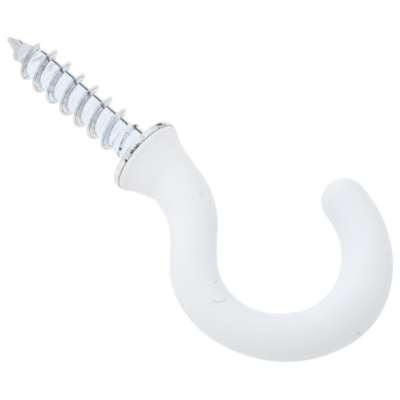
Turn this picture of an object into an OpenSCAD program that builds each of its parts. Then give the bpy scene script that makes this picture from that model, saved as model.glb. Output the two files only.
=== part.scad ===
// Cup hook: a wood-screw hook of one cold-formed steel wire with a rolled thread, a gimlet
// point and a collar, dipped in white vinyl from the collar's rim to the rounded tip.
// Millimetres. +Z runs along the screw, as when the hook is driven up under a shelf. The
// origin is the middle of the collar's seat face, and the wire is bent in the XZ plane.

/* [Wire] */
// Diameter of the drawn steel wire, which is the plain shank and the core under the coat
wire_d = 3.2; // [2.4:0.1:3.4]

/* [Screw] */
// Length of the screw from the collar's seat to the tip of the point
screw_len = 16.7; // [14:0.1:24]
// Outside diameter of the rolled thread over its crests
thread_d = 4.05; // [3.8:0.05:4.6]
// Diameter of the rolled core between the crests
core_d = 2.72; // [2.2:0.02:2.9]
// Distance between neighbouring crests
pitch = 1.7; // [1.4:0.05:2.2]
// Width of the thread ridge where it leaves the core
ridge_base = 0.66; // [0.5:0.02:0.9]
// Width of the narrow land along the crest
ridge_crest = 0.1; // [0.06:0.02:0.2]
// Plain shank between the seat and the start of the thread
shank_len = 1.8; // [1.2:0.1:3]
// Turns over which the ridge rises out of the shank
runout_turns = 0.75; // [0.5:0.05:1.2]
// Angle of the crest about Z at the height of the seat
thread_phase = -118; // [-180:1:180]
// Length of the tapered gimlet point
point_len = 3.6; // [3:0.1:5]
// Bare cone between the tip and the start of the crests
point_bare = 0.85; // [0.5:0.05:1.2]
// Length over which the crests then grow to full height
crest_rise = 3.8; // [3:0.1:6]
// Radius of the blunt tip
tip_r = 0.25; // [0.15:0.01:0.3]

/* [Collar] */
// Diameter of the collar
collar_d = 7.2; // [6.4:0.1:9]
// Thickness of the collar
collar_h = 0.65; // [0.5:0.05:1.2]
// Radius rolled round the collar's two edges
collar_edge = 0.22; // [0.1:0.02:0.24]
// Fillet between the seat and the shank
seat_fillet = 0.35; // [0.3:0.05:0.6]
// Fillet between the collar's underside and the bent wire
under_fillet = 0.8; // [0.4:0.1:1.2]

/* [Bend] */
// Straight neck below the seat
neck_len = 2.9; // [2.6:0.1:4]
// Bend radius of the wire's middle line where the neck turns outwards
neck_bend = 7.85; // [6:0.05:12]
// Angle through which the neck turns outwards
neck_turn = 46.4; // [30:0.2:55]
// Straight slope between the neck and the bowl
slope_len = 3.45; // [1:0.05:8]
// Bend radius on the near side of the bowl
bowl_near = 6.95; // [5.5:0.05:9]
// Angle of the near side of the bowl
near_turn = 85; // [60:1:100]
// Bend radius at the bottom of the bowl
bowl_low = 7.9; // [6:0.05:10]
// Angle of the bottom of the bowl
low_turn = 74.2; // [60:0.2:100]
// Bend radius of the rising end
end_bend = 10; // [8:0.5:14]
// Angle of the rising end
end_turn = 56; // [10:1:60]
// Wire that runs on straight past the last bend
end_run = 0.3; // [0.1:0.1:0.6]

/* [Coat] */
// Thickness of the vinyl on the wire
coat_wall = 0.5; // [0.3:0.05:0.9]
// Step from the collar's rim in to the shoulder of the coat
shoulder_step = 0.08; // [0:0.02:0.2]
// Height of the coat's rounded shoulder under the collar
shoulder_h = 0.65; // [0.4:0.05:1]
// Radius of the shoulder's lower edge
shoulder_edge = 0.35; // [0.1:0.05:0.38]
// Step from the shoulder in to the top of the flare
flare_step = 0.25; // [0.1:0.05:0.6]
// Distance from the seat to the foot of the flare
flare_foot = 5.0; // [4:0.1:7]
// How far the foot of the flare lies under the coat's skin
foot_sink = 0.24; // [0.2:0.02:0.4]

/* [Hidden] */
$fn = 96;
turn_steps = 36;
wire_r = wire_d / 2;
thread_r = thread_d / 2;
core_r = core_d / 2;
collar_r = collar_d / 2;
coat_r = wire_r + coat_wall;
shoulder_r = collar_r - shoulder_step;
flare_top_r = shoulder_r - flare_step;
flare_foot_r = coat_r - foot_sink;
flare_top_z = -collar_h - shoulder_h;
// the flare is one arc that ends upright at its foot
flare_in = flare_top_r - flare_foot_r;
flare_drop = flare_foot + flare_top_z;
flare_bend = (flare_in * flare_in + flare_drop * flare_drop) / (2 * flare_in);
core_end = screw_len - point_len;
// the threaded core starts inside the shank and tapers to its own size
core_taper = 0.6;
core_lap = 0.05;
core_start = shank_len + core_taper;
root_lap = 0.02;
// the crests rise out of the point along a curve of this power
rise_power = 0.55;
// share of the ridge's foot that is left where it has no height
ridge_least = 0.3;
// points in the screw's outline over one pitch
outline_points = 5;
// bends are this much fuller than the straights, and lap over them by this much
fuse_swell = 0.002;
fuse_lap = 0.02;
// the coat's round tip starts this far inside its skin
tip_step = 0.01;

// ---- the bent line, drawn in X and Z as a flat plan and then stood up

function along(a) = [cos(a), sin(a)];

head_slope = -90 - neck_turn;
head_low = head_slope + near_turn;
head_end = head_low + low_turn;
head_tip = head_end + end_turn;

neck_centre = [-neck_bend, -neck_len];
slope_start = neck_centre + neck_bend * along(-neck_turn);
near_start = slope_start + slope_len * along(head_slope);
near_centre = near_start + bowl_near * along(head_slope + 90);
low_start = near_centre + bowl_near * along(head_low - 90);
low_centre = low_start + bowl_low * along(head_low + 90);
end_start = low_centre + bowl_low * along(head_end - 90);
end_centre = end_start + end_bend * along(head_end + 90);
tip_centre = end_centre + end_bend * along(head_tip - 90);

module in_hook_plane() {
    rotate([90, 0, 0])
        children();
}

// a round bar bent about a centre in the plan
module bend(centre, bend_r, bar_r, from, sweep) {
    translate([centre[0], centre[1], 0])
        rotate([0, 0, from])
            rotate_extrude(angle = sweep)
                translate([bend_r, 0])
                    circle(r = bar_r);
}

// a bend that is a hair fuller and longer than its neighbours, so that they fuse into one bar
module full_bend(centre, bend_r, bar_r, from, sweep) {
    over = asin(fuse_lap / bend_r);
    bend(centre, bend_r, bar_r + fuse_swell, from - over, sweep + 2 * over);
}

// a straight round bar in the plan
module straight(start, heading, run, bar_r) {
    translate([start[0], start[1], 0])
        rotate([0, 0, heading])
            rotate([0, 90, 0])
                cylinder(h = run, r = bar_r);
}

// the bent part below the straight neck, to the middle of the tip
module bent_bar(bar_r) {
    in_hook_plane() {
        full_bend(neck_centre, neck_bend, bar_r, -neck_turn, neck_turn);
        straight(slope_start, head_slope, slope_len, bar_r);
        full_bend(near_centre, bowl_near, bar_r, head_slope - 90, near_turn);
        bend(low_centre, bowl_low, bar_r, head_low - 90, low_turn);
        full_bend(end_centre, end_bend, bar_r, head_end - 90, end_turn);
    }
}

// ---- screw

// how far the crest stands out at height z, as a share of its full height
function rise(z) = min(
    1,
    max(0, (z - shank_len) / (runout_turns * pitch)),
    (max(0, screw_len - point_bare - z) / crest_rise) ^ rise_power
);

// the round core at height z: a short taper out of the shank, the core, and the gimlet point
function core_at(z) =
    z < shank_len ? wire_r - core_lap :
    z < core_start ? wire_r - core_lap - (wire_r - core_lap - core_r) * (z - shank_len) / core_taper :
    z < core_end ? core_r :
    z < screw_len - tip_r ? tip_r + (core_r - tip_r) * (screw_len - tip_r - z) / (point_len - tip_r) :
    tip_r * sqrt(max(0, 1 - ((z - screw_len + tip_r) / tip_r) ^ 2));

// one pitch of the screw's outline from the root up over the ridge to the next root
function pitch_outline(z) =
    let (
        mid = z + pitch / 2,
        up = rise(mid),
        half_foot = ridge_base / 2 * (ridge_least + (1 - ridge_least) * up),
        half_top = ridge_crest / 2,
        crest_r = core_at(mid) + (thread_r - core_r) * up
    )
    [
        [core_at(z), z],
        [core_at(mid - half_foot), mid - half_foot],
        [crest_r, mid - half_top],
        [crest_r, mid + half_top],
        [core_at(mid + half_foot), mid + half_foot]
    ];

function turned(p, a) = [p[0] * cos(a), p[0] * sin(a), min(p[1], screw_len)];

// the thread and its core in one skin that winds up from inside the shank to the tip
module threaded_core() {
    wind_from = shank_len - pitch * (1 + root_lap);
    rows = ceil((screw_len - wind_from) / pitch * turn_steps);
    row_turn = 360 / turn_steps;
    first_angle = thread_phase + 360 * (wind_from + pitch / 2) / pitch;
    skin = [
        for (i = [0 : rows])
            for (p = pitch_outline(wind_from + pitch * i / turn_steps))
                turned(p, first_angle + i * row_turn)
    ];
    base = len(skin);
    points = concat(skin, [[0, 0, wind_from], [0, 0, screw_len]]);
    function at(i, j) = j < outline_points ? i * outline_points + j : (i + turn_steps) * outline_points;
    last = rows - turn_steps;
    sides = [
        for (i = [0 : last - 1])
            for (j = [0 : outline_points - 1])
                each [
                    [at(i, j), at(i, j + 1), at(i + 1, j + 1)],
                    [at(i, j), at(i + 1, j + 1), at(i + 1, j)]
                ]
    ];
    low_edge = [for (i = [0 : turn_steps - 1]) [base, at(i, 0), at(i + 1, 0)]];
    low_seam = [for (j = [0 : outline_points - 1]) [base, at(0, j + 1), at(0, j)]];
    top_edge = [for (i = [last : rows - 1]) [base + 1, at(i + 1, 0), at(i, 0)]];
    top_seam = [for (j = [0 : outline_points - 1]) [base + 1, at(last, j), at(last, j + 1)]];
    polyhedron(points = points, faces = concat(sides, low_edge, low_seam, top_edge, top_seam), convexity = 12);
}

// plain round shank, which runs on below the seat as the straight neck
module shank() {
    translate([0, 0, -neck_len])
        cylinder(h = neck_len + shank_len, r = wire_r);
}

// ---- collar

module collar_profile() {
    square_w = collar_r - collar_edge;
    translate([0, -collar_h])
        square([square_w, collar_h]);
    translate([0, collar_edge - collar_h])
        square([collar_r, collar_h - 2 * collar_edge]);
    translate([square_w, -collar_edge])
        circle(r = collar_edge);
    translate([square_w, collar_edge - collar_h])
        circle(r = collar_edge);
}

// a concave fillet in a corner of the profile; side is 1 above the corner and -1 below it
module corner_fillet(x, y, fillet, side) {
    difference() {
        translate([x - wire_r / 2, side > 0 ? y : y - fillet])
            square([wire_r / 2 + fillet, fillet]);
        translate([x + fillet, y + side * fillet])
            circle(r = fillet);
    }
}

module collar() {
    rotate_extrude() {
        collar_profile();
        corner_fillet(wire_r, 0, seat_fillet, 1);
        corner_fillet(wire_r, -collar_h, under_fillet, -1);
    }
}

// the wire's straight cut end inside the tip of the coat
module wire_end() {
    in_hook_plane()
        straight(tip_centre, head_tip, end_run, wire_r);
}

module steel_hook() {
    color("silver") {
        threaded_core();
        union() {
            shank();
            collar();
            bent_bar(wire_r);
            wire_end();
        }
    }
}

// ---- coat

module coat_profile() {
    // rounded shoulder
    translate([0, flare_top_z])
        square([shoulder_r - shoulder_edge, shoulder_h]);
    translate([0, flare_top_z + shoulder_edge])
        square([shoulder_r, shoulder_h - shoulder_edge]);
    intersection() {
        translate([shoulder_r - shoulder_edge, flare_top_z + shoulder_edge])
            circle(r = shoulder_edge);
        translate([0, flare_top_z])
            square([shoulder_r, shoulder_edge]);
    }
    // flare
    difference() {
        translate([0, -flare_foot])
            square([flare_top_r, flare_drop]);
        translate([flare_foot_r + flare_bend, -flare_foot])
            circle(r = flare_bend, $fn = 360);
    }
}

module vinyl_coat() {
    color("white") {
        difference() {
            union() {
                rotate_extrude()
                    coat_profile();
                translate([0, 0, -neck_len])
                    cylinder(h = neck_len - collar_h - shoulder_h, r = coat_r);
                bent_bar(coat_r);
                in_hook_plane()
                    translate([tip_centre[0], tip_centre[1], 0])
                        rotate([0, 0, head_tip])
                            rotate([0, 90, 0])
                                sphere(r = coat_r - tip_step);
            }
            union() {
                shank();
                bent_bar(wire_r);
                wire_end();
                rotate_extrude()
                    corner_fillet(wire_r, -collar_h, under_fillet, -1);
            }
        }
    }
}

steel_hook();
vinyl_coat();
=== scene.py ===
# %% [markdown]
# # A vinyl-dipped cup hook
# The real hook is one piece of steel wire. A machine rolls a wood-screw thread on one end, upsets
# a collar, and bends the other end into a hook. The hook is zinc plated, and then its lower half
# is dipped in liquid vinyl that cures into a white skin. So this scene has two pieces only. They
# could be pushed and pulled into shape by hand, but each follows a rule: the steel is a helix and
# a bent bar, and the skin is a sleeve whose thickness changes along the bar. Rules suit Geometry
# Nodes, which is what makes both.

# %% Load the frame
import math

import bmesh
import bpy
import numpy as np
from mathutils import Matrix, Vector


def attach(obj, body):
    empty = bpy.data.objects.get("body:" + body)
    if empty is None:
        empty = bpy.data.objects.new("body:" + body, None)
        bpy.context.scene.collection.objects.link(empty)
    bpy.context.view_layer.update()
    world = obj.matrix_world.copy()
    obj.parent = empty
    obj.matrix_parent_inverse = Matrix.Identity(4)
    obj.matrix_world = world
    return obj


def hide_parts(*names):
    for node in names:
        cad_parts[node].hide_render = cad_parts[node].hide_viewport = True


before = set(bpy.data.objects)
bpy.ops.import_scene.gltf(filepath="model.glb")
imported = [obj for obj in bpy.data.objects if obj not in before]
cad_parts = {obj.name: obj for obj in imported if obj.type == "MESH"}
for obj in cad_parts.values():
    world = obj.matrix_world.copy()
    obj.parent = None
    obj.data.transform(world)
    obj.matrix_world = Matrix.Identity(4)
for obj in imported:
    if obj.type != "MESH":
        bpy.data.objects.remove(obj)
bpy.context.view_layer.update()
MM = 0.001

# %% [markdown]
# ## The sizes
# All lengths are millimetres. Z runs along the screw, and zero is the collar's seat, the face
# that stops against the shelf. They could be read from the frame's meshes, but a designer works
# the other way round: sizes come first and the mesh follows them.

# %% Sizes of the screw
# The last point_bare of the point has no crest. From there down the crest grows over crest_rise,
# by rise_power, which is fast at first. Run back to height zero, it lies at thread_phase degrees.
wire_r = 1.6
screw_len = 16.7
thread_r = 2.025
core_r = 1.36
pitch = 1.7
plain_shank = 1.8
shank_taper = 0.6
runout_turns = 0.75
point_len = 3.6
point_bare = 0.85
crest_rise = 3.8
rise_power = 0.55
tip_r = 0.25
thread_phase = -118.0
print(f"screw: {screw_len} mm long, {2 * thread_r} mm over the crests, {2 * core_r} mm core")

# %% Sizes of the collar
collar_r = 3.6
collar_h = 0.65
collar_edge = 0.22
seat_fillet = 0.35
under_fillet = 0.8
print(f"collar: {2 * collar_r} mm across, {collar_h} mm thick")

# %% [markdown]
# ## The bent wire
# The wire's middle line lies in the XZ plane. It could be a Bezier curve that is pulled until it
# looks right, but a wire bender knows only two moves: run this far, and turn this many degrees
# round a pin of this radius. A chain of those moves has true radii and no kinks. A positive turn
# goes anticlockwise for someone who looks along +Y.

# %% The bends of the wire
line_pieces = [
    ("run", 2.9),
    ("turn", 7.85, -46.4),
    ("run", 3.45),
    ("turn", 6.95, 85.0),
    ("turn", 7.9, 74.2),
    ("turn", 10.0, 56.0),
]
wire_run_on = 0.3
line_step = 0.08
bent_len = sum(p[1] if p[0] == "run" else p[1] * math.radians(abs(p[2])) for p in line_pieces)
print(f"wire below the seat: {bent_len:.2f} mm along its middle line")


# %% Points of a run and of a turn
def run_points(start, heading, length):
    """Points of a straight run, and the heading at its end."""
    count = math.ceil(length / line_step)
    way = np.array([math.cos(heading), math.sin(heading)])
    return [start + way * length * (k + 1) / count for k in range(count)], heading


def turn_points(start, heading, radius, angle):
    """Points of a bend round a pin, and the heading at its end."""
    swing = math.radians(angle)
    count = math.ceil(radius * abs(swing) / line_step)
    side = math.copysign(1, swing)
    pin = start + side * radius * np.array([-math.sin(heading), math.cos(heading)])
    points = []
    for k in range(count):
        now = heading + swing * (k + 1) / count
        points.append(pin + side * radius * np.array([math.sin(now), -math.cos(now)]))
    return points, heading + swing


# %% The middle line
def middle_line(top, extra):
    """The wire's middle line from a height above the seat to a run past the last bend."""
    points = [np.array([0.0, top])]
    heading = math.radians(-90)
    for kind, *sizes in [("run", top), *line_pieces, ("run", extra)]:
        if kind == "run":
            more, heading = run_points(points[-1], heading, *sizes)
        else:
            more, heading = turn_points(points[-1], heading, *sizes)
        points.extend(more)
    return points


ball_r = 2.02
line_top = seat_fillet
line_points = middle_line(line_top, ball_r)
print("middle line:", len(line_points), "points")

# %% [markdown]
# ## Helpers that the node trees read
# A node tree can't see Python's lists. The numbers could be typed into the tree, but a tree can
# also sample a curve at any length along it, and read a point by its number. So the middle line
# goes in as a curve, and each outline as loose points whose X is the distance along the wire and
# whose Y is the radius there. Helpers are removed at the end.

# %% Helper objects
helpers = []


def helper_curve(name, points):
    """A poly curve in the XZ plane, in metres."""
    data = bpy.data.curves.new(name, "CURVE")
    data.dimensions = "3D"
    spline = data.splines.new("POLY")
    spline.points.add(len(points) - 1)
    for place, (x, z) in zip(spline.points, points):
        place.co = (x * MM, 0, z * MM, 1)
    made = bpy.data.objects.new(name, data)
    helpers.append(made)
    return made


def helper_points(name, points):
    """Loose points that hold an outline: distance along, radius."""
    mesh = bpy.data.meshes.new(name)
    mesh.from_pydata([(a * MM, b * MM, 0) for a, b in points], [], [])
    made = bpy.data.objects.new(name, mesh)
    helpers.append(made)
    return made


wire_line = helper_curve("wire_line", line_points)
print("helper:", wire_line.name)

# %% [markdown]
# ## The steel's outline below the thread
# The collar is upset: the cold wire is struck on its end until it spreads into a disc, which
# leaves rolled edges and a fillet on both sides. It could be a cylinder that is joined on with a
# boolean, but its fillets would then need bevels on a messy edge. Unbend the wire and put it in a
# lathe instead, and collar, fillets and bar are one outline. Distances are measured down the wire
# from the top of the seat's fillet, where the thread's skin will join.

# %% Outline of shank, collar and bar
face_rings = 6
bar_rings = 160
cap_rings = 4
edge_gap = 0.05
fillet_gap = 0.2 * seat_fillet


def arc(centre, radius, start, end, count=10):
    """Points on a round corner of the outline, from one angle to another."""
    cx, cy = centre
    turns = [math.radians(start + (end - start) * k / count) for k in range(count + 1)]
    return [(cx + radius * math.cos(a), cy + radius * math.sin(a)) for a in turns]


def flat_end(place, radius):
    """Points from a rim in to the wire's middle line."""
    return [(place, radius * k / cap_rings) for k in range(cap_rings - 1, -1, -1)]


def steel_outline():
    """Distance down the wire and radius, from the shank over the collar to the wire's end."""
    seat = line_top
    under = seat + collar_h
    foot = under + under_fillet
    end = seat + bent_len + wire_run_on
    edge_y = collar_r - collar_edge
    face = np.linspace(wire_r + seat_fillet + fillet_gap, edge_y - edge_gap, face_rings)
    points = arc((seat - seat_fillet, wire_r + seat_fillet), seat_fillet, -90, 0)
    points += [(seat, radius) for radius in face]
    points += arc((seat + collar_edge, edge_y), collar_edge, 180, 90)
    points += arc((under - collar_edge, edge_y), collar_edge, 90, 0)
    points += arc((foot, wire_r + under_fillet), under_fillet, 180, 270)
    points += [(place, wire_r) for place in np.linspace(foot, end, bar_rings)[1:]]
    return points + flat_end(end, wire_r)


steel_points = steel_outline()
print("steel outline:", len(steel_points), "points")

# %% [markdown]
# ## A small tool for building trees
# Every tree here, for shapes and for finishes, is built by one function. It adds a node, sets it
# up, fills its inputs in order or by name with values or links, and gives back its output.


# %% Add a node
def add(tree, kind, inputs=(), **settings):
    """Adds a node with its settings, fills its inputs with values or links, gives its output."""
    made = tree.nodes.new(kind)
    for name, value in settings.items():
        setattr(made, name, value)
    shown = [s for s in made.inputs if s.enabled]
    if isinstance(inputs, dict):
        pairs = [(next(s for s in shown if s.name == key), value) for key, value in inputs.items()]
    else:
        pairs = zip(shown, inputs)
    for socket, value in pairs:
        if isinstance(value, bpy.types.NodeSocket):
            tree.links.new(value, socket)
        elif value is not None:
            socket.default_value = value
    return next(s for s in made.outputs if s.enabled) if len(made.outputs) else None


# %% Start a tree
def new_tree(name, sockets):
    """A Geometry Nodes tree with named inputs, and the sockets of its input node."""
    tree = bpy.data.node_groups.new(name, "GeometryNodeTree")
    tree.is_modifier = True
    tree.interface.new_socket("Geometry", in_out="OUTPUT", socket_type="NodeSocketGeometry")
    for label, kind, value in sockets:
        made = tree.interface.new_socket(label, in_out="INPUT", socket_type="NodeSocket" + kind)
        if value is not None:
            made.default_value = value
    return tree, tree.nodes.new("NodeGroupInput").outputs


# %% Finish a tree
stitch = 1e-7


def finish_tree(tree, skin, finish):
    """Stitches seams and poles, and ends the tree the way the export needs."""
    skin = add(tree, "GeometryNodeMergeByDistance", {"Geometry": skin, "Distance": stitch})
    skin = add(tree, "GeometryNodeSetShadeSmooth", {"Geometry": skin})
    skin = add(tree, "GeometryNodeRealizeInstances", [skin])
    skin = add(tree, "GeometryNodeSetMaterial", {"Geometry": skin, "Material": finish})
    add(tree, "NodeGroupOutput", [skin])


print(f"vertices closer than {stitch / MM:.4f} mm are stitched")

# %% [markdown]
# ## The node tree that wraps a grid on a bent line
# The bar and the skin are round all along, but their radius changes. Curve to Mesh could sweep a
# circle and scale it, but a step in the outline, such as the collar's face, needs rows that lie
# on top of each other. So this tree wraps a grid. One row stands for one point of the outline,
# and one column for one angle round the wire. The tree reads the outline's point by the row's
# number, samples the middle line there, and places the vertex at that radius. It is a lathe with
# a bent axis.

# %% A grid whose vertices know their row and column
sides = 96


def grid_place(tree, rows, columns):
    """A grid of rows by columns, with each vertex's row and column number."""
    grid = add(tree, "GeometryNodeMeshGrid", [1.0, 1.0, rows, columns])
    number = add(tree, "GeometryNodeInputIndex")
    share = add(tree, "ShaderNodeMath", [number, columns], operation="DIVIDE")
    row = add(tree, "ShaderNodeMath", [share], operation="FLOOR")
    column = add(tree, "ShaderNodeMath", [number, columns], operation="FLOORED_MODULO")
    return grid, row, column


# %% Tree: skin on a bent line
def build_skin_tree():
    """Wraps an outline round a bent line. The outline's X is distance, its Y is radius."""
    tree, given = new_tree("skin_on_bent_line", [
        ("Line", "Object", None),
        ("Outline", "Object", None),
        ("Sides", "Int", sides),
        ("First angle", "Float", 0.0),
        ("Finish", "Material", None),
    ])
    line = add(tree, "GeometryNodeObjectInfo", [given["Line"]]).node.outputs["Geometry"]
    outline = add(tree, "GeometryNodeObjectInfo", [given["Outline"]]).node.outputs["Geometry"]
    rows = add(tree, "GeometryNodeAttributeDomainSize", [outline], component="MESH")
    columns = add(tree, "ShaderNodeMath", [given["Sides"], 1], operation="ADD")
    grid, row, column = grid_place(tree, rows, columns)
    place = add(tree, "GeometryNodeInputPosition")
    station = add(tree, "GeometryNodeSampleIndex", [outline, place, row], data_type="FLOAT_VECTOR")
    station = add(tree, "ShaderNodeSeparateXYZ", [station])
    radius = station.node.outputs["Y"]
    sample = add(tree, "GeometryNodeSampleCurve", {"Curves": line, "Length": station},
                 mode="LENGTH", use_all_curves=True).node
    step = add(tree, "ShaderNodeMath", [math.tau, given["Sides"]], operation="DIVIDE")
    angle = add(tree, "ShaderNodeMath", [column, step, given["First angle"]],
                operation="MULTIPLY_ADD")
    out_x = add(tree, "ShaderNodeMath", [angle], operation="COSINE")
    out_y = add(tree, "ShaderNodeMath", [angle], operation="SINE")
    across = add(tree, "ShaderNodeVectorMath", [sample.outputs["Tangent"], (0, 1, 0)],
                 operation="CROSS_PRODUCT")
    across = add(tree, "ShaderNodeVectorMath", {"Vector": across, "Scale": out_x},
                 operation="SCALE")
    out = add(tree, "ShaderNodeCombineXYZ", [0.0, out_y, 0.0])
    out = add(tree, "ShaderNodeVectorMath", [across, out], operation="ADD")
    out = add(tree, "ShaderNodeVectorMath", {"Vector": out, "Scale": radius}, operation="SCALE")
    spot = add(tree, "ShaderNodeVectorMath", [sample.outputs["Position"], out], operation="ADD")
    skin = add(tree, "GeometryNodeSetPosition", {"Geometry": grid, "Position": spot})
    finish_tree(tree, skin, given["Finish"])
    return tree


skin_tree = build_skin_tree()
print("tree:", skin_tree.name, "with", len(skin_tree.nodes), "nodes")

# %% [markdown]
# ## The thread
# A rolled thread is one ridge that winds up the core. Dies press it into the wire, so its flanks
# are smooth and it rises out of the shank. A Screw modifier could wind a profile, but then the
# ridge would be a second shell through the core, with no run-out and no point. Here the skin is
# one long strip, one pitch wide, that is wound round the screw so that each turn's lower edge is
# the last turn's upper edge. The strip starts as a single point and widens over its first turn,
# which leaves a flat ring for the collar's skin to join. Where the ridge has no height the strip
# simply is the plain shank.

# %% The ridge's outline across one pitch
ridge_base = 0.66
ridge_crest = 0.034
root_points = 4


def ridge_outline():
    """Place across the pitch, from 0 to 1, and height of the ridge, from 0 to 1."""
    foot = ridge_base / 2 / pitch
    land = ridge_crest / 2 / pitch
    root = [(0.5 - foot) * k / root_points for k in range(root_points)]
    rising = [(0.5 - foot, 0.0), (0.5 - foot * 0.9, 0.08), (0.5 - foot * 0.55, 0.44)]
    crest = [(0.5 - land * 2.2, 0.9), (0.5 - land, 0.985), (0.5, 1.0)]
    half = [(x, 0.0) for x in root] + rising + crest
    return half + [(1 - x, h) for x, h in reversed(half[:-1])]


ridge_points = ridge_outline()
ridge_helper = helper_points("ridge_outline", [(x / MM, h / MM) for x, h in ridge_points])
print("ridge outline:", len(ridge_points), "points across one pitch")


# %% Radius of the core
def screw_radius(tree, given, z):
    """Radius of the round core at height z: shank, short taper, core, point and blunt tip."""
    taper = add(tree, "ShaderNodeMapRange", [z, given["Plain shank"], given["Core start"],
                                             given["Wire radius"], given["Core radius"]])
    cone = add(tree, "ShaderNodeMapRange",
               [z, given["Point start"], given["Tip centre"], 1.0, 0.0])
    slim = add(tree, "ShaderNodeMath", [given["Core radius"], given["Tip radius"]],
               operation="SUBTRACT")
    cone = add(tree, "ShaderNodeMath", [cone, slim, given["Tip radius"]], operation="MULTIPLY_ADD")
    body = add(tree, "ShaderNodeMath", [taper, cone], operation="MINIMUM")
    taper_zone = add(tree, "ShaderNodeMath", [z, given["Point start"]], operation="LESS_THAN")
    past = add(tree, "ShaderNodeMath", [z, given["Tip centre"]], operation="SUBTRACT")
    past = add(tree, "ShaderNodeMath", [past, 0.0], operation="MAXIMUM")
    past = add(tree, "ShaderNodeMath", [past, given["Tip radius"]], operation="DIVIDE")
    square = add(tree, "ShaderNodeMath", [past, 2.0], operation="POWER")
    left = add(tree, "ShaderNodeMath", [1.0, square], operation="SUBTRACT")
    left = add(tree, "ShaderNodeMath", [left, 0.0], operation="MAXIMUM")
    ball = add(tree, "ShaderNodeMath", [left], operation="SQRT")
    below = add(tree, "GeometryNodeSwitch", [taper_zone, body, taper], input_type="FLOAT")
    return add(tree, "ShaderNodeMath", [below, ball], operation="MULTIPLY")


# %% Height of the ridge
def ridge_height(tree, given, z):
    """Share of the ridge's full height at z: it rises out of the shank and out of the tip."""
    start = add(tree, "ShaderNodeMapRange",
                [z, given["Plain shank"], given["Full thread"], 0.0, 1.0])
    point = add(tree, "ShaderNodeMapRange",
                [z, given["Crest end"], given["Crest full"], 0.0, 1.0])
    point = add(tree, "ShaderNodeMath", [point, given["Rise power"]], operation="POWER")
    return add(tree, "ShaderNodeMath", [start, point], operation="MINIMUM")


# %% Named inputs of the thread's tree
turns = (screw_len - line_top) / pitch + 1
thread_sizes = [
    ("Ridge", "Object", None),
    ("Finish", "Material", None),
    ("Turns", "Float", turns),
    ("Sides", "Int", sides),
    ("First angle", "Float", 0.0),
    ("Start", "Float", line_top * MM),
    ("Pitch", "Float", pitch * MM),
    ("Top", "Float", screw_len * MM),
    ("Wire radius", "Float", wire_r * MM),
    ("Core radius", "Float", core_r * MM),
    ("Ridge height", "Float", (thread_r - core_r) * MM),
    ("Plain shank", "Float", plain_shank * MM),
    ("Core start", "Float", (plain_shank + shank_taper) * MM),
    ("Full thread", "Float", (plain_shank + runout_turns * pitch) * MM),
    ("Point start", "Float", (screw_len - point_len) * MM),
    ("Crest end", "Float", (screw_len - point_bare) * MM),
    ("Crest full", "Float", (screw_len - point_bare - crest_rise) * MM),
    ("Tip centre", "Float", (screw_len - tip_r) * MM),
    ("Tip radius", "Float", tip_r * MM),
    ("Rise power", "Float", rise_power),
]
print(f"thread: {turns:.2f} turns of strip,", len(thread_sizes), "named inputs")


# %% Tree: rolled thread
def build_thread_tree():
    """Winds a strip one pitch wide round the screw and lifts it into the ridge."""
    tree, given = new_tree("rolled_thread", thread_sizes)
    ridge = add(tree, "GeometryNodeObjectInfo", [given["Ridge"]]).node.outputs["Geometry"]
    columns = add(tree, "GeometryNodeAttributeDomainSize", [ridge], component="MESH")
    rows = add(tree, "ShaderNodeMath", [given["Turns"], given["Sides"], 2],
               operation="MULTIPLY_ADD")
    grid, row, column = grid_place(tree, rows, columns)
    place = add(tree, "GeometryNodeInputPosition")
    across = add(tree, "GeometryNodeSampleIndex", [ridge, place, column], data_type="FLOAT_VECTOR")
    across = add(tree, "ShaderNodeSeparateXYZ", [across])
    lift = across.node.outputs["Y"]
    turn = add(tree, "ShaderNodeMath", [row, given["Sides"]], operation="DIVIDE")
    wound = add(tree, "ShaderNodeMath", [turn, 1.0], operation="SUBTRACT")
    wound = add(tree, "ShaderNodeMath", [wound, 0.0], operation="MAXIMUM")
    width = add(tree, "ShaderNodeMath", [turn, 1.0], operation="MINIMUM")
    width = add(tree, "ShaderNodeMath", [width, given["Pitch"]], operation="MULTIPLY")
    low = add(tree, "ShaderNodeMath", [wound, given["Pitch"], given["Start"]],
              operation="MULTIPLY_ADD")
    z = add(tree, "ShaderNodeMath", [width, across, low], operation="MULTIPLY_ADD")
    z = add(tree, "ShaderNodeMath", [z, given["Top"]], operation="MINIMUM")
    middle = add(tree, "ShaderNodeMath", [width, 0.5, low], operation="MULTIPLY_ADD")
    height = add(tree, "ShaderNodeMath", [ridge_height(tree, given, middle), given["Ridge height"]],
                 operation="MULTIPLY")
    inside = add(tree, "ShaderNodeMath", [z, given["Top"]], operation="LESS_THAN")
    height = add(tree, "ShaderNodeMath", [height, inside], operation="MULTIPLY")
    core = add(tree, "ShaderNodeMath", [screw_radius(tree, given, z), inside], operation="MULTIPLY")
    radius = add(tree, "ShaderNodeMath", [height, lift, core], operation="MULTIPLY_ADD")
    angle = add(tree, "ShaderNodeMath", [turn, math.tau, given["First angle"]],
                operation="MULTIPLY_ADD")
    out_x = add(tree, "ShaderNodeMath", [angle], operation="COSINE")
    out_y = add(tree, "ShaderNodeMath", [angle], operation="SINE")
    x = add(tree, "ShaderNodeMath", [out_x, radius], operation="MULTIPLY")
    y = add(tree, "ShaderNodeMath", [out_y, radius], operation="MULTIPLY")
    spot = add(tree, "ShaderNodeCombineXYZ", [x, y, z])
    skin = add(tree, "GeometryNodeSetPosition", {"Geometry": grid, "Position": spot})
    finish_tree(tree, skin, given["Finish"])
    return tree


thread_tree = build_thread_tree()
print("tree:", thread_tree.name, "with", len(thread_tree.nodes), "nodes")


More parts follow.
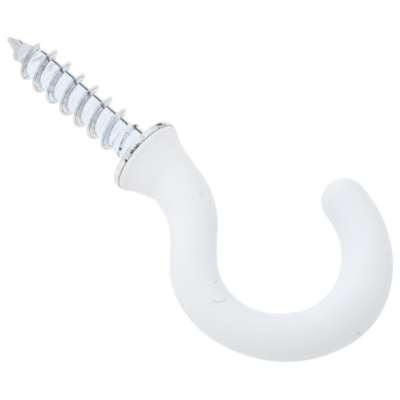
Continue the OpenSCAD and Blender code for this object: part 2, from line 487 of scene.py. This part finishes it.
# %% Run a tree and keep its mesh
def grow(name, tree, values):
    """Runs a tree on an empty object, and returns a plain object with the mesh it makes."""
    made = bpy.data.objects.new(name, bpy.data.meshes.new(name))
    bpy.context.scene.collection.objects.link(made)
    modifier = made.modifiers.new(tree.name, "NODES")
    modifier.node_group = tree
    for item in tree.interface.items_tree:
        if item.in_out == "INPUT" and item.name in values:
            modifier[item.identifier] = values[item.name]
    bpy.context.view_layer.update()
    graph = bpy.context.evaluated_depsgraph_get()
    made.data = bpy.data.meshes.new_from_object(made.evaluated_get(graph))
    made.modifiers.clear()
    # The mesh comes with an empty first slot, and its faces would show no finish.
    made.data.materials.clear()
    made.data.materials.append(values["Finish"])
    print(f"{name}: {len(made.data.vertices)} vertices")
    return made

# %% [markdown]
# ## Finishes
# Both finishes are procedural: they are worked out from the point on the object, in millimetres,
# so they need no texture file and no unwrapping. Colours are written as a designer would pick
# them, in sRGB hex, and one function turns them into the linear values that the shaders want.


# %% Colour and shader helpers
def linear(hex_colour):
    """An sRGB hex colour as the linear RGBA that Blender's sockets take."""
    parts = [int(hex_colour[k:k + 2], 16) / 255 for k in (0, 2, 4)]
    return (*[c / 12.92 if c <= 0.04045 else ((c + 0.055) / 1.055) ** 2.4 for c in parts], 1.0)


def new_material(name):
    """A node material, its tree and its Principled shader."""
    made = bpy.data.materials.new(name)
    made.use_nodes = True
    return made, made.node_tree, made.node_tree.nodes["Principled BSDF"]


def drive(tree, shader, sockets):
    """Links or sets the Principled shader's sockets by name."""
    for name, value in sockets.items():
        if isinstance(value, bpy.types.NodeSocket):
            tree.links.new(value, shader.inputs[name])
        else:
            shader.inputs[name].default_value = value


# %% Pattern helpers
def in_mm(tree):
    """The point on the object that is being shaded, in millimetres."""
    place = add(tree, "ShaderNodeTexCoord").node.outputs["Object"]
    return add(tree, "ShaderNodeVectorMath", {"Vector": place, "Scale": 1 / MM}, operation="SCALE")


def mottle(tree, place, size, detail=2.0, stretch=(1, 1, 1)):
    """A pattern from 0 to 1 whose blotches are about size millimetres apart, and stretched."""
    place = add(tree, "ShaderNodeVectorMath", [place, stretch], operation="DIVIDE")
    return add(tree, "ShaderNodeTexNoise", {"Vector": place, "Scale": 1 / size, "Detail": detail})


def band(tree, value, centre, half, soft):
    """1 where a value lies within half of a centre, and 0 from a soft edge on."""
    off = add(tree, "ShaderNodeMath", [value, centre], operation="SUBTRACT")
    off = add(tree, "ShaderNodeMath", [off], operation="ABSOLUTE")
    return add(tree, "ShaderNodeMapRange", [off, half, half + soft, 1.0, 0.0])


def mix_colour(tree, colour, other, *masks):
    """A colour that turns to another one where all masks are 1."""
    share = masks[0]
    for mask in masks[1:]:
        share = add(tree, "ShaderNodeMath", [share, mask], operation="MULTIPLY")
    return add(tree, "ShaderNodeMix", {"Factor": share, "A": colour, "B": linear(other)},
               data_type="RGBA")


# %% Ragged spots
ragged = 0.5
ragged_size = 0.2


def spots(tree, place, centres):
    """Spots with a ragged edge, each given by its middle and its radius in millimetres."""
    push = add(tree, "ShaderNodeTexNoise", {"Vector": place, "Scale": 1 / ragged_size})
    push = push.node.outputs["Color"]
    place = add(tree, "ShaderNodeVectorMath", [push, [ragged] * 3, place], operation="MULTIPLY_ADD")
    mask = 0.0
    for *middle, radius in centres:
        middle = [part + ragged / 2 for part in middle]
        far = add(tree, "ShaderNodeVectorMath", [place, middle], operation="DISTANCE")
        near = add(tree, "ShaderNodeMapRange", [far, radius / 2, radius, 1.0, 0.0])
        mask = add(tree, "ShaderNodeMath", [mask, near], operation="MAXIMUM")
    return mask


# %% [markdown]
# ### Bright zinc plate
# Zinc from a bright bath, passivated blue-white, is a clean mirror-like metal with a slight blue.
# The plate's blue is rubbed off the crests, the collar's wall and the point. Painted shade darkens
# the thread's lower corners, the lower flank where the thread starts and the groove where the vinyl
# meets the collar's rim, and painted reflections give the flanks a light tone, grey blotches and a
# thin dark line by each crest. The dies leave torn marks where the thread starts, and drops of the
# dip creep under the collar's rim. All of this could be painted by hand. But each mark belongs to a
# place on the screw, and the thread's own helix says how far from the crest a point lies, so every
# mark is a band or a spot in millimetres.


# %% Where a point lies on the thread
def across_ridge(tree, place):
    """Millimetres from the crest along the screw, below it negative, and the height itself."""
    parts = add(tree, "ShaderNodeSeparateXYZ", [place]).node.outputs
    turn = add(tree, "ShaderNodeMath", [parts["Y"], parts["X"]], operation="ARCTAN2")
    turn = add(tree, "ShaderNodeMath", [turn, -1 / math.tau, thread_phase / 360 + 0.5],
               operation="MULTIPLY_ADD")
    place = add(tree, "ShaderNodeMath", [parts["Z"], 1 / pitch, turn], operation="MULTIPLY_ADD")
    place = add(tree, "ShaderNodeMath", [place], operation="FRACT")
    place = add(tree, "ShaderNodeMath", [place, pitch, -pitch / 2], operation="MULTIPLY_ADD")
    return place, parts["Z"]


# %% Colours of the thread
def thread_colour(tree, colour, across, threaded, cloud, patch):
    """Light flanks with grey blotches and thin dark lines by the crests, all painted reflection;
    painted shade in the corners; rubbed crests.
    """
    # Each band has its middle, half width and soft edge, in millimetres from the crest.
    off = add(tree, "ShaderNodeMath", [across], operation="ABSOLUTE")
    # Painted reflection: the flanks get a light grey tone, and dark blotches where the plate's
    # patches are.
    flank = band(tree, off, 0.25, 0.1, 0.06)
    reflection_blotch = add(tree, "ShaderNodeMapRange", [patch, 0.56, 0.62, 0.0, 1.0])
    # Painted shade: the corner at the foot of each lower flank is darkened.
    corner = band(tree, across, -0.31, 0.015, 0.05)
    crest = band(tree, off, 0.0, 0.08, 0.06)
    # Painted reflection: a thin dark line along both sides of every crest, stronger where the
    # clouds are.
    edge = band(tree, off, 0.12, 0.004, 0.018)
    reflection_line_strength = add(tree, "ShaderNodeMapRange", [cloud, 0.35, 0.65, 0.25, 1.0])
    colour = mix_colour(tree, colour, "E6E9EE", threaded, flank)
    colour = mix_colour(tree, colour, "777B82", threaded, flank, reflection_blotch, 0.3)
    colour = mix_colour(tree, colour, "7E8494", threaded, corner, 0.3)
    colour = mix_colour(tree, colour, "E9EAEA", threaded, crest)
    return mix_colour(tree, colour, "5A5E66", threaded, edge, reflection_line_strength)


# %% Wear of the screw
def wear_and_shade_colour(tree, colour, place, across, height, threaded):
    """Painted shade and torn marks where the thread starts, and plate that is rubbed off towards
    the point.
    """
    side = band(tree, across, -0.2, 0.12, 0.15)
    start = band(tree, height, 1.55, 0.3, 0.2)
    torn = mottle(tree, place, 0.28, 2.0, (1.8, 1.8, 1))
    torn = add(tree, "ShaderNodeMapRange", [torn, 0.54, 0.58, 0.0, 1.0])
    rubbed = mottle(tree, place, 0.3, 4.0, (3, 3, 1))
    rubbed = add(tree, "ShaderNodeMapRange", [rubbed, 0.52, 0.66, 0.0, 1.0])
    more = add(tree, "ShaderNodeMapRange", [height, 9.0, 15.0, 0.12, 0.75])
    bare = add(tree, "ShaderNodeMapRange", [height, 12.8, 15.0, 0.0, 0.7])
    # Painted shade: grey on the lower flank where the thread starts, under the torn marks.
    colour = mix_colour(tree, colour, "B9BEC8", side, start, 0.5)
    colour = mix_colour(tree, colour, "5C5F68", side, start, torn)
    colour = mix_colour(tree, colour, "8B9098", threaded, more, rubbed)
    return mix_colour(tree, colour, "CDD0D4", bare)


# %% Colours of the collar's rim
drop_height = -0.56
rim_drops = [
    (collar_r * math.cos(math.radians(turn)), collar_r * math.sin(math.radians(turn)),
     drop_height, size)
    for turn, size in [(-143, 0.17), (-130, 0.15), (-127, 0.17), (-124, 0.17), (-120, 0.15),
                       (-117, 0.18), (-113, 0.15), (-72, 0.13), (-58, 0.16)]
]


def rim_colour(tree, colour, place, height, cloud):
    """The collar's rubbed wall with smudges, painted shade where the skin ends, and its drops."""
    wall = band(tree, height, -collar_h / 2, collar_h / 2 - 0.05, 0.05)
    smudge = add(tree, "ShaderNodeMapRange", [cloud, 0.5, 0.62, 0.0, 0.3])
    # Painted shade in the groove where the collar's rim meets the vinyl.
    line = band(tree, height, -collar_h, 0.03, 0.06)
    colour = mix_colour(tree, colour, "E9EBED", wall)
    colour = mix_colour(tree, colour, "A9ADAD", wall, smudge)
    colour = mix_colour(tree, colour, "9DA0A3", line)
    return mix_colour(tree, colour, "33363A", spots(tree, place, rim_drops))


print("drops at the rim:", len(rim_drops))


# %% Zinc material
def zinc_material():
    """Blue-white bright zinc on rolled wire: a light metal, nearly a mirror, faintly scratched."""
    made, tree, shader = new_material("blue_white_bright_zinc_plate")
    place = in_mm(tree)
    across, height = across_ridge(tree, place)
    threaded = add(tree, "ShaderNodeMapRange",
                   [height, plain_shank, plain_shank + shank_taper, 0.0, 1.0])
    # Clouds of the bath, which also vary the painted dark line by the crests, patches of the plate,
    # which also place the painted reflection blotches on the flanks, and the dies' scratches, which
    # run round the screw. Real scratches are far finer, and these are as coarse as they need to
    # show.
    cloud = mottle(tree, place, 0.9, 3.0)
    patch = mottle(tree, place, 0.22, 4.0)
    rings = mottle(tree, place, 0.12, 2.0, (6, 6, 1))
    colour = mix_colour(tree, linear("E5ECF4"), "EBF3FA", cloud)
    colour = thread_colour(tree, colour, across, threaded, cloud, patch)
    colour = wear_and_shade_colour(tree, colour, place, across, height, threaded)
    colour = rim_colour(tree, colour, place, height, cloud)
    rough = add(tree, "ShaderNodeMapRange", [patch, 0.35, 0.7, 0.1, 0.24])
    bump = add(tree, "ShaderNodeBump", {"Height": rings, "Strength": 0.25, "Distance": 0.01 * MM})
    bump = add(tree, "ShaderNodeBump",
               {"Height": patch, "Strength": 0.3, "Distance": 0.012 * MM, "Normal": bump})
    drive(tree, shader, {"Base Color": colour, "Metallic": 1.0, "Roughness": rough, "Normal": bump})
    return made


zinc = zinc_material()
print("material:", zinc.name, "with", len(zinc.node_tree.nodes), "nodes")

# %% [markdown]
# ### Dipped vinyl
# The hook is warmed and dipped in plastisol, a liquid vinyl that gels on the hot metal and cures
# into a smooth, soft skin with a low gloss. It could be one plain white shader, but real dips
# flow before they set, so the surface has long, shallow waves, and light enters the skin a little
# way. Handling leaves a few tiny grey scuffs, which are given by their places.

# %% Scuffs on the vinyl
scuffs = [
    (-0.49, -2.08, -7.34, 0.3),
    (-5.84, -1.82, -13.84, 0.16),
    (-6.02, -1.85, -14.21, 0.18),
    (-5.67, -1.67, -14.19, 0.15),
    (-5.41, -1.57, -13.87, 0.15),
    (-7.84, -1.87, -15.77, 0.13),
    (-7.55, -1.95, -15.5, 0.15),
    (-7.38, -1.99, -15.71, 0.13),
    (-7.22, -2.01, -15.85, 0.13),
    (-7.04, -2.02, -15.97, 0.14),
    (-6.82, -2.0, -16.07, 0.18),
    (-8.73, 0.0, -13.3, 0.25),
    (0.09, -0.52, -25.48, 0.25),
]
print("scuffs:", len(scuffs))


# %% Vinyl material
def vinyl_material():
    """White cured plastisol: soft gloss over a faint waviness, a little light inside."""
    made, tree, shader = new_material("white_plastisol_dip")
    place = in_mm(tree)
    # Waves of the flow, and the cured skin's own grain, drawn as coarse as it needs to show.
    waves = mottle(tree, place, 2.5, 1.0)
    grain = mottle(tree, place, 0.35, 3.0)
    height = add(tree, "ShaderNodeSeparateXYZ", [place]).node.outputs["Z"]
    flare = add(tree, "ShaderNodeMapRange", [height, -11.0, -3.0, 0.0, 1.0])
    colour = mix_colour(tree, linear("EBF0F5"), "EFF3F7", waves)
    colour = mix_colour(tree, colour, "8F9194", spots(tree, place, scuffs), 0.25)
    colour = mix_colour(tree, colour, "F3F5F9", flare)
    rough = add(tree, "ShaderNodeMapRange", [grain, 0.3, 0.7, 0.34, 0.44])
    bump = add(tree, "ShaderNodeBump", {"Height": waves, "Strength": 0.3, "Distance": 0.05 * MM})
    bump = add(tree, "ShaderNodeBump",
               {"Height": grain, "Strength": 0.1, "Distance": 0.01 * MM, "Normal": bump})
    # Soft PVC has an IOR of about 1.53.
    drive(tree, shader, {
        "Base Color": colour,
        "Roughness": rough,
        "IOR": 1.53,
        "Subsurface Weight": 0.15,
        "Subsurface Radius": (1.0, 0.9, 0.8),
        "Subsurface Scale": 0.4 * MM,
        "Normal": bump,
    })
    return made


vinyl = vinyl_material()
print("material:", vinyl.name, "with", len(vinyl.node_tree.nodes), "nodes")

# %% [markdown]
# ## The steel piece
# Thread, collar and bar are one piece of metal, so they have to be one closed skin. A boolean
# could weld the two meshes, but it leaves slivers. Here they are made to fit: the strip's first
# turn starts at the angle that brings the ridge's crest to the thread's own phase, and the bar's
# skin uses the same columns. So the two meet vertex to vertex, and one merge closes them.

# %% Grow the steel
first_angle = math.radians(thread_phase + 360 * (line_top / pitch - 0.5))
steel_helper = helper_points("steel_outline", steel_points)
thread = grow("thread", thread_tree, {
    "Ridge": ridge_helper,
    "Finish": zinc,
    "First angle": first_angle,
})
bar = grow("bar", skin_tree, {
    "Line": wire_line,
    "Outline": steel_helper,
    "First angle": first_angle,
    "Finish": zinc,
})


# %% Join skins
def closed_volume(mesh):
    """Volume inside a mesh in cubic millimetres, and how many of its edges are open."""
    shape = bmesh.new()
    shape.from_mesh(mesh)
    size = shape.calc_volume(signed=True) / MM ** 3
    loose = sum(1 for edge in shape.edges if not edge.is_manifold)
    shape.free()
    return size, loose


def join_skins(name, parts, crease):
    """Merges grown parts into one closed mesh whose faces point outwards."""
    shape = bmesh.new()
    for part in parts:
        shape.from_mesh(part.data)
    bmesh.ops.remove_doubles(shape, verts=shape.verts, dist=stitch)
    bmesh.ops.dissolve_degenerate(shape, edges=shape.edges, dist=stitch)
    bmesh.ops.recalc_face_normals(shape, faces=shape.faces)
    mesh = bpy.data.meshes.new(name)
    shape.to_mesh(mesh)
    shape.free()
    mesh.materials.append(parts[0].data.materials[0])
    mesh.shade_smooth()
    mesh.set_sharp_from_angle(angle=math.radians(crease))
    made = bpy.data.objects.new(name, mesh)
    bpy.context.scene.collection.objects.link(made)
    for part in parts:
        bpy.data.objects.remove(part)
    size, loose = closed_volume(mesh)
    print(f"{name}: {len(mesh.polygons)} faces, {size:.1f} mm3, {loose} open edges")
    return made


# %% The steel piece in the frame
steel = join_skins("zinc_plated_steel", [thread, bar], 38)
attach(steel, "root")
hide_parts("steel_hook")

# %% [markdown]
# ## The vinyl skin
# The skin isn't equally thick: it is thin on the slope, and it ran down to the lowest part of the
# bowl before it set. A Solidify modifier on the wire would give one even wall. So the skin is an
# outline too, a closed sleeve: from the ball at the tip up the outside to the shoulder under the
# collar, across, and back down the bore where the steel is. A smooth curve goes through a short
# list of radii along the wire.

# %% Radius of the skin along the wire
skin_radii = [
    (1.45, 3.14),
    (2.0, 2.9),
    (2.9, 2.6),
    (3.9, 2.36),
    (5.46, 2.3),
    (7.56, 2.19),
    (10.9, 2.0),
    (14.3, 2.08),
    (17.6, 2.03),
    (21.0, 1.95),
    (24.4, 2.04),
    (27.7, 2.13),
    (31.1, 2.31),
    (34.4, 2.28),
    (38.8, 2.13),
    (bent_len, ball_r),
]
skin_places, skin_sizes = zip(*skin_radii)
skin_slopes = np.gradient(skin_sizes, skin_places)


def smooth_radius(distance):
    """The skin's radius at a distance below the seat, on a smooth curve through skin_radii."""
    k = min(max(np.searchsorted(skin_places, distance) - 1, 0), len(skin_places) - 2)
    span = skin_places[k + 1] - skin_places[k]
    t = (distance - skin_places[k]) / span
    keep = 2 * t ** 3 - 3 * t ** 2 + 1
    start = t ** 3 - 2 * t ** 2 + t
    end = t ** 3 - t ** 2
    between = keep * skin_sizes[k] + (1 - keep) * skin_sizes[k + 1]
    return between + span * (start * skin_slopes[k] + end * skin_slopes[k + 1])


print(f"skin: {min(skin_sizes)} to {max(skin_sizes)} mm in radius")

# %% Outline of the vinyl
shoulder_r = 3.48
shoulder_round = 0.5
shoulder_drop = 0.12
shoulder_from = 40
lip_gap = 0.1
ball_rings = 24
skin_rings = 260
bore_rings = 120


def vinyl_outline():
    """Distance down the wire and radius, from the tip up the outside and back down the bore."""
    top = line_top + collar_h
    centre = line_top + bent_len
    foot = top + under_fillet
    end = centre + wire_run_on
    bore_r = wire_r + under_fillet
    shoulder = (top + shoulder_drop, shoulder_r - shoulder_round)
    points = arc((centre, 0.0), ball_r, 0, 90, ball_rings)
    for distance in np.linspace(bent_len, skin_places[0], skin_rings)[1:]:
        points.append((line_top + distance, smooth_radius(distance)))
    points += arc(shoulder, shoulder_round, shoulder_from, 90, 8)
    points += [(top, shoulder_r)]
    points += [(top, radius) for radius in np.linspace(shoulder_r - lip_gap, bore_r, face_rings)]
    points += arc((foot, bore_r), under_fillet, 180, 270)
    points += [(place, wire_r) for place in np.linspace(foot, end, bore_rings)[1:]]
    return points + flat_end(end, wire_r)


vinyl_points = vinyl_outline()
print("vinyl outline:", len(vinyl_points), "points")

# %% The vinyl piece in the frame
vinyl_helper = helper_points("vinyl_outline", vinyl_points)
sleeve = grow("sleeve", skin_tree, {"Line": wire_line, "Outline": vinyl_helper, "Finish": vinyl})
coat = join_skins("white_vinyl_dip", [sleeve], 50)
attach(coat, "root")
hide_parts("vinyl_coat")

# %% [markdown]
# ## Camera
# A long lens from a quarter of a metre keeps the hook nearly free of perspective, as in a
# catalogue. The camera looks up at the hook from its left and from below, and is rolled so that
# the screw points to the upper left. It could be placed by its location and three angles, but
# turn, rise and range round a point that it aims at are easier to change one by one.

# %% Camera
camera_turn = -30.23
camera_rise = -18.56
camera_roll = -49.38
camera_range = 261.8 * MM
camera_aim = Vector((1.204, 1.702, -6.186)) * MM
lens_mm = 270
sensor_mm = 36
nearest_seen = 10 * MM


def make_camera():
    """A camera that looks along its turn and rise at the aim point, rolled about that line."""
    turn = math.radians(camera_turn)
    rise = math.radians(camera_rise)
    back = Vector((
        math.sin(turn) * math.cos(rise),
        -math.cos(turn) * math.cos(rise),
        math.sin(rise),
    ))
    data = bpy.data.cameras.new("camera")
    data.lens = lens_mm
    data.sensor_width = sensor_mm
    data.clip_start = nearest_seen
    made = bpy.data.objects.new("camera", data)
    bpy.context.scene.collection.objects.link(made)
    level = back.to_track_quat("Z", "Y").to_matrix()
    made.matrix_world = Matrix.LocRotScale(
        camera_aim + back * camera_range,
        (level @ Matrix.Rotation(math.radians(camera_roll), 3, "Z")).to_quaternion(),
        None,
    )
    bpy.context.scene.camera = made
    return made


camera = make_camera()
across, up = (camera.matrix_world.to_3x3() @ Vector(v) for v in ((1, 0, 0), (0, 1, 0)))
print("camera right:", [round(x, 4) for x in across], "up:", [round(x, 4) for x in up])

# %% [markdown]
# ## Stage and light
# Small bright hardware is lit in a tent of white cloth, because a bare lamp would burn a hot line
# into the metal. The tent is the world: white in front and a little warmer behind. One lamp, soft
# and weak, makes the round forms turn, and reflections leave it out. A tent has an opening, and
# bright metal shows it as a thin dark line along the screw, without which it looks like plastic.
# So reflections see one dark gap in the white. A floor lies well below, and only views from above
# see it.

# %% Rays that show the background
def background_rays(tree):
    """1 for the rays that show the background: from the camera, a reflection or through glass."""
    path = add(tree, "ShaderNodeLightPath").node.outputs
    seen = add(tree, "ShaderNodeMath", [path["Is Camera Ray"], path["Is Transmission Ray"]],
               operation="MAXIMUM")
    return add(tree, "ShaderNodeMath", [seen, path["Is Glossy Ray"]], operation="MAXIMUM")


# %% Floor
floor_depth = 250 * MM
floor_half = 3.0


def make_floor():
    """A plain pale floor, which the camera sees as white."""
    mesh = bpy.data.meshes.new("floor")
    h = floor_half
    z = -floor_depth
    mesh.from_pydata([(-h, -h, z), (h, -h, z), (h, h, z), (-h, h, z)], [], [(0, 1, 2, 3)])
    made = bpy.data.objects.new("floor", mesh)
    bpy.context.scene.collection.objects.link(made)
    paint, tree, shader = new_material("pale_floor")
    colour = mix_colour(tree, linear("E6E6E6"), "FFFFFF", background_rays(tree))
    drive(tree, shader, {"Base Color": colour, "Roughness": 0.9})
    mesh.materials.append(paint)
    return made


floor = make_floor()
print("floor:", -floor.data.vertices[0].co.z, "m below the seat")

# %% Lamp
lamp_place = (-0.35, -0.45, 0.2)
lamp_aim = (0, 0, -0.005)
lamp_size = 0.5
lamp_watts = 0.12


def make_lamp(name, place, aim, size, watts):
    """A square soft lamp that faces a point and shows in no reflection."""
    data = bpy.data.lights.new(name, "AREA")
    data.size = size
    data.energy = watts
    made = bpy.data.objects.new(name, data)
    bpy.context.scene.collection.objects.link(made)
    made.visible_glossy = False
    made.location = place
    made.rotation_euler = (Vector(place) - Vector(aim)).to_track_quat("Z", "Y").to_euler()
    return made


key = make_lamp("key", lamp_place, lamp_aim, lamp_size, lamp_watts)
print(f"lamp: {key.data.energy:.2f} W")

# %% World
front_light = "FFFFFF"
back_light = "ECE9E6"
tent_level = 1.04
gap_colour = "616161"
# A direction is squashed by gap_flat before it is compared, so the round gap is an upright slot.
gap_way = (0.96, -0.23, 0.14)
gap_flat = (1.0, 1.0, 0.4)
gap_soft = (0.975, 0.99)


def make_world():
    """White where the background shows, one dark gap in reflections, and the tent's light."""
    world = bpy.data.worlds.new("light_tent")
    world.use_nodes = True
    tree = world.node_tree
    tree.nodes.clear()
    glossy = add(tree, "ShaderNodeLightPath").node.outputs["Is Glossy Ray"]
    way = add(tree, "ShaderNodeTexCoord").node.outputs["Generated"]
    side = add(tree, "ShaderNodeSeparateXYZ", [way]).node.outputs["Y"]
    side = add(tree, "ShaderNodeMapRange", [side, -0.4, 0.4, 0.0, 1.0])
    colour = mix_colour(tree, linear(front_light), back_light, side)
    colour = add(tree, "ShaderNodeVectorMath", {"Vector": colour, "Scale": tent_level},
                 operation="SCALE")
    colour = mix_colour(tree, colour, "FFFFFF", background_rays(tree))
    flat = add(tree, "ShaderNodeVectorMath", [way, gap_flat], operation="MULTIPLY")
    flat = add(tree, "ShaderNodeVectorMath", [flat], operation="NORMALIZE")
    near = add(tree, "ShaderNodeVectorMath", [flat, gap_way], operation="DOT_PRODUCT")
    gap = add(tree, "ShaderNodeMapRange", [near, *gap_soft, 0.0, 1.0])
    colour = mix_colour(tree, colour, gap_colour, glossy, gap)
    sky = add(tree, "ShaderNodeBackground", {"Color": colour, "Strength": 1.0})
    add(tree, "ShaderNodeOutputWorld", {"Surface": sky})
    bpy.context.scene.world = world
    return world


tent = make_world()
bpy.context.scene.view_settings.view_transform = "Standard"
print("world:", tent.name, "with", len(tent.node_tree.nodes), "nodes")

# %% [markdown]
# ## The helpers go
# The helpers have done their work, so they go. The visual model has to stay in the CAD box.

# %% Finish
for helper in helpers:
    bpy.data.objects.remove(helper)
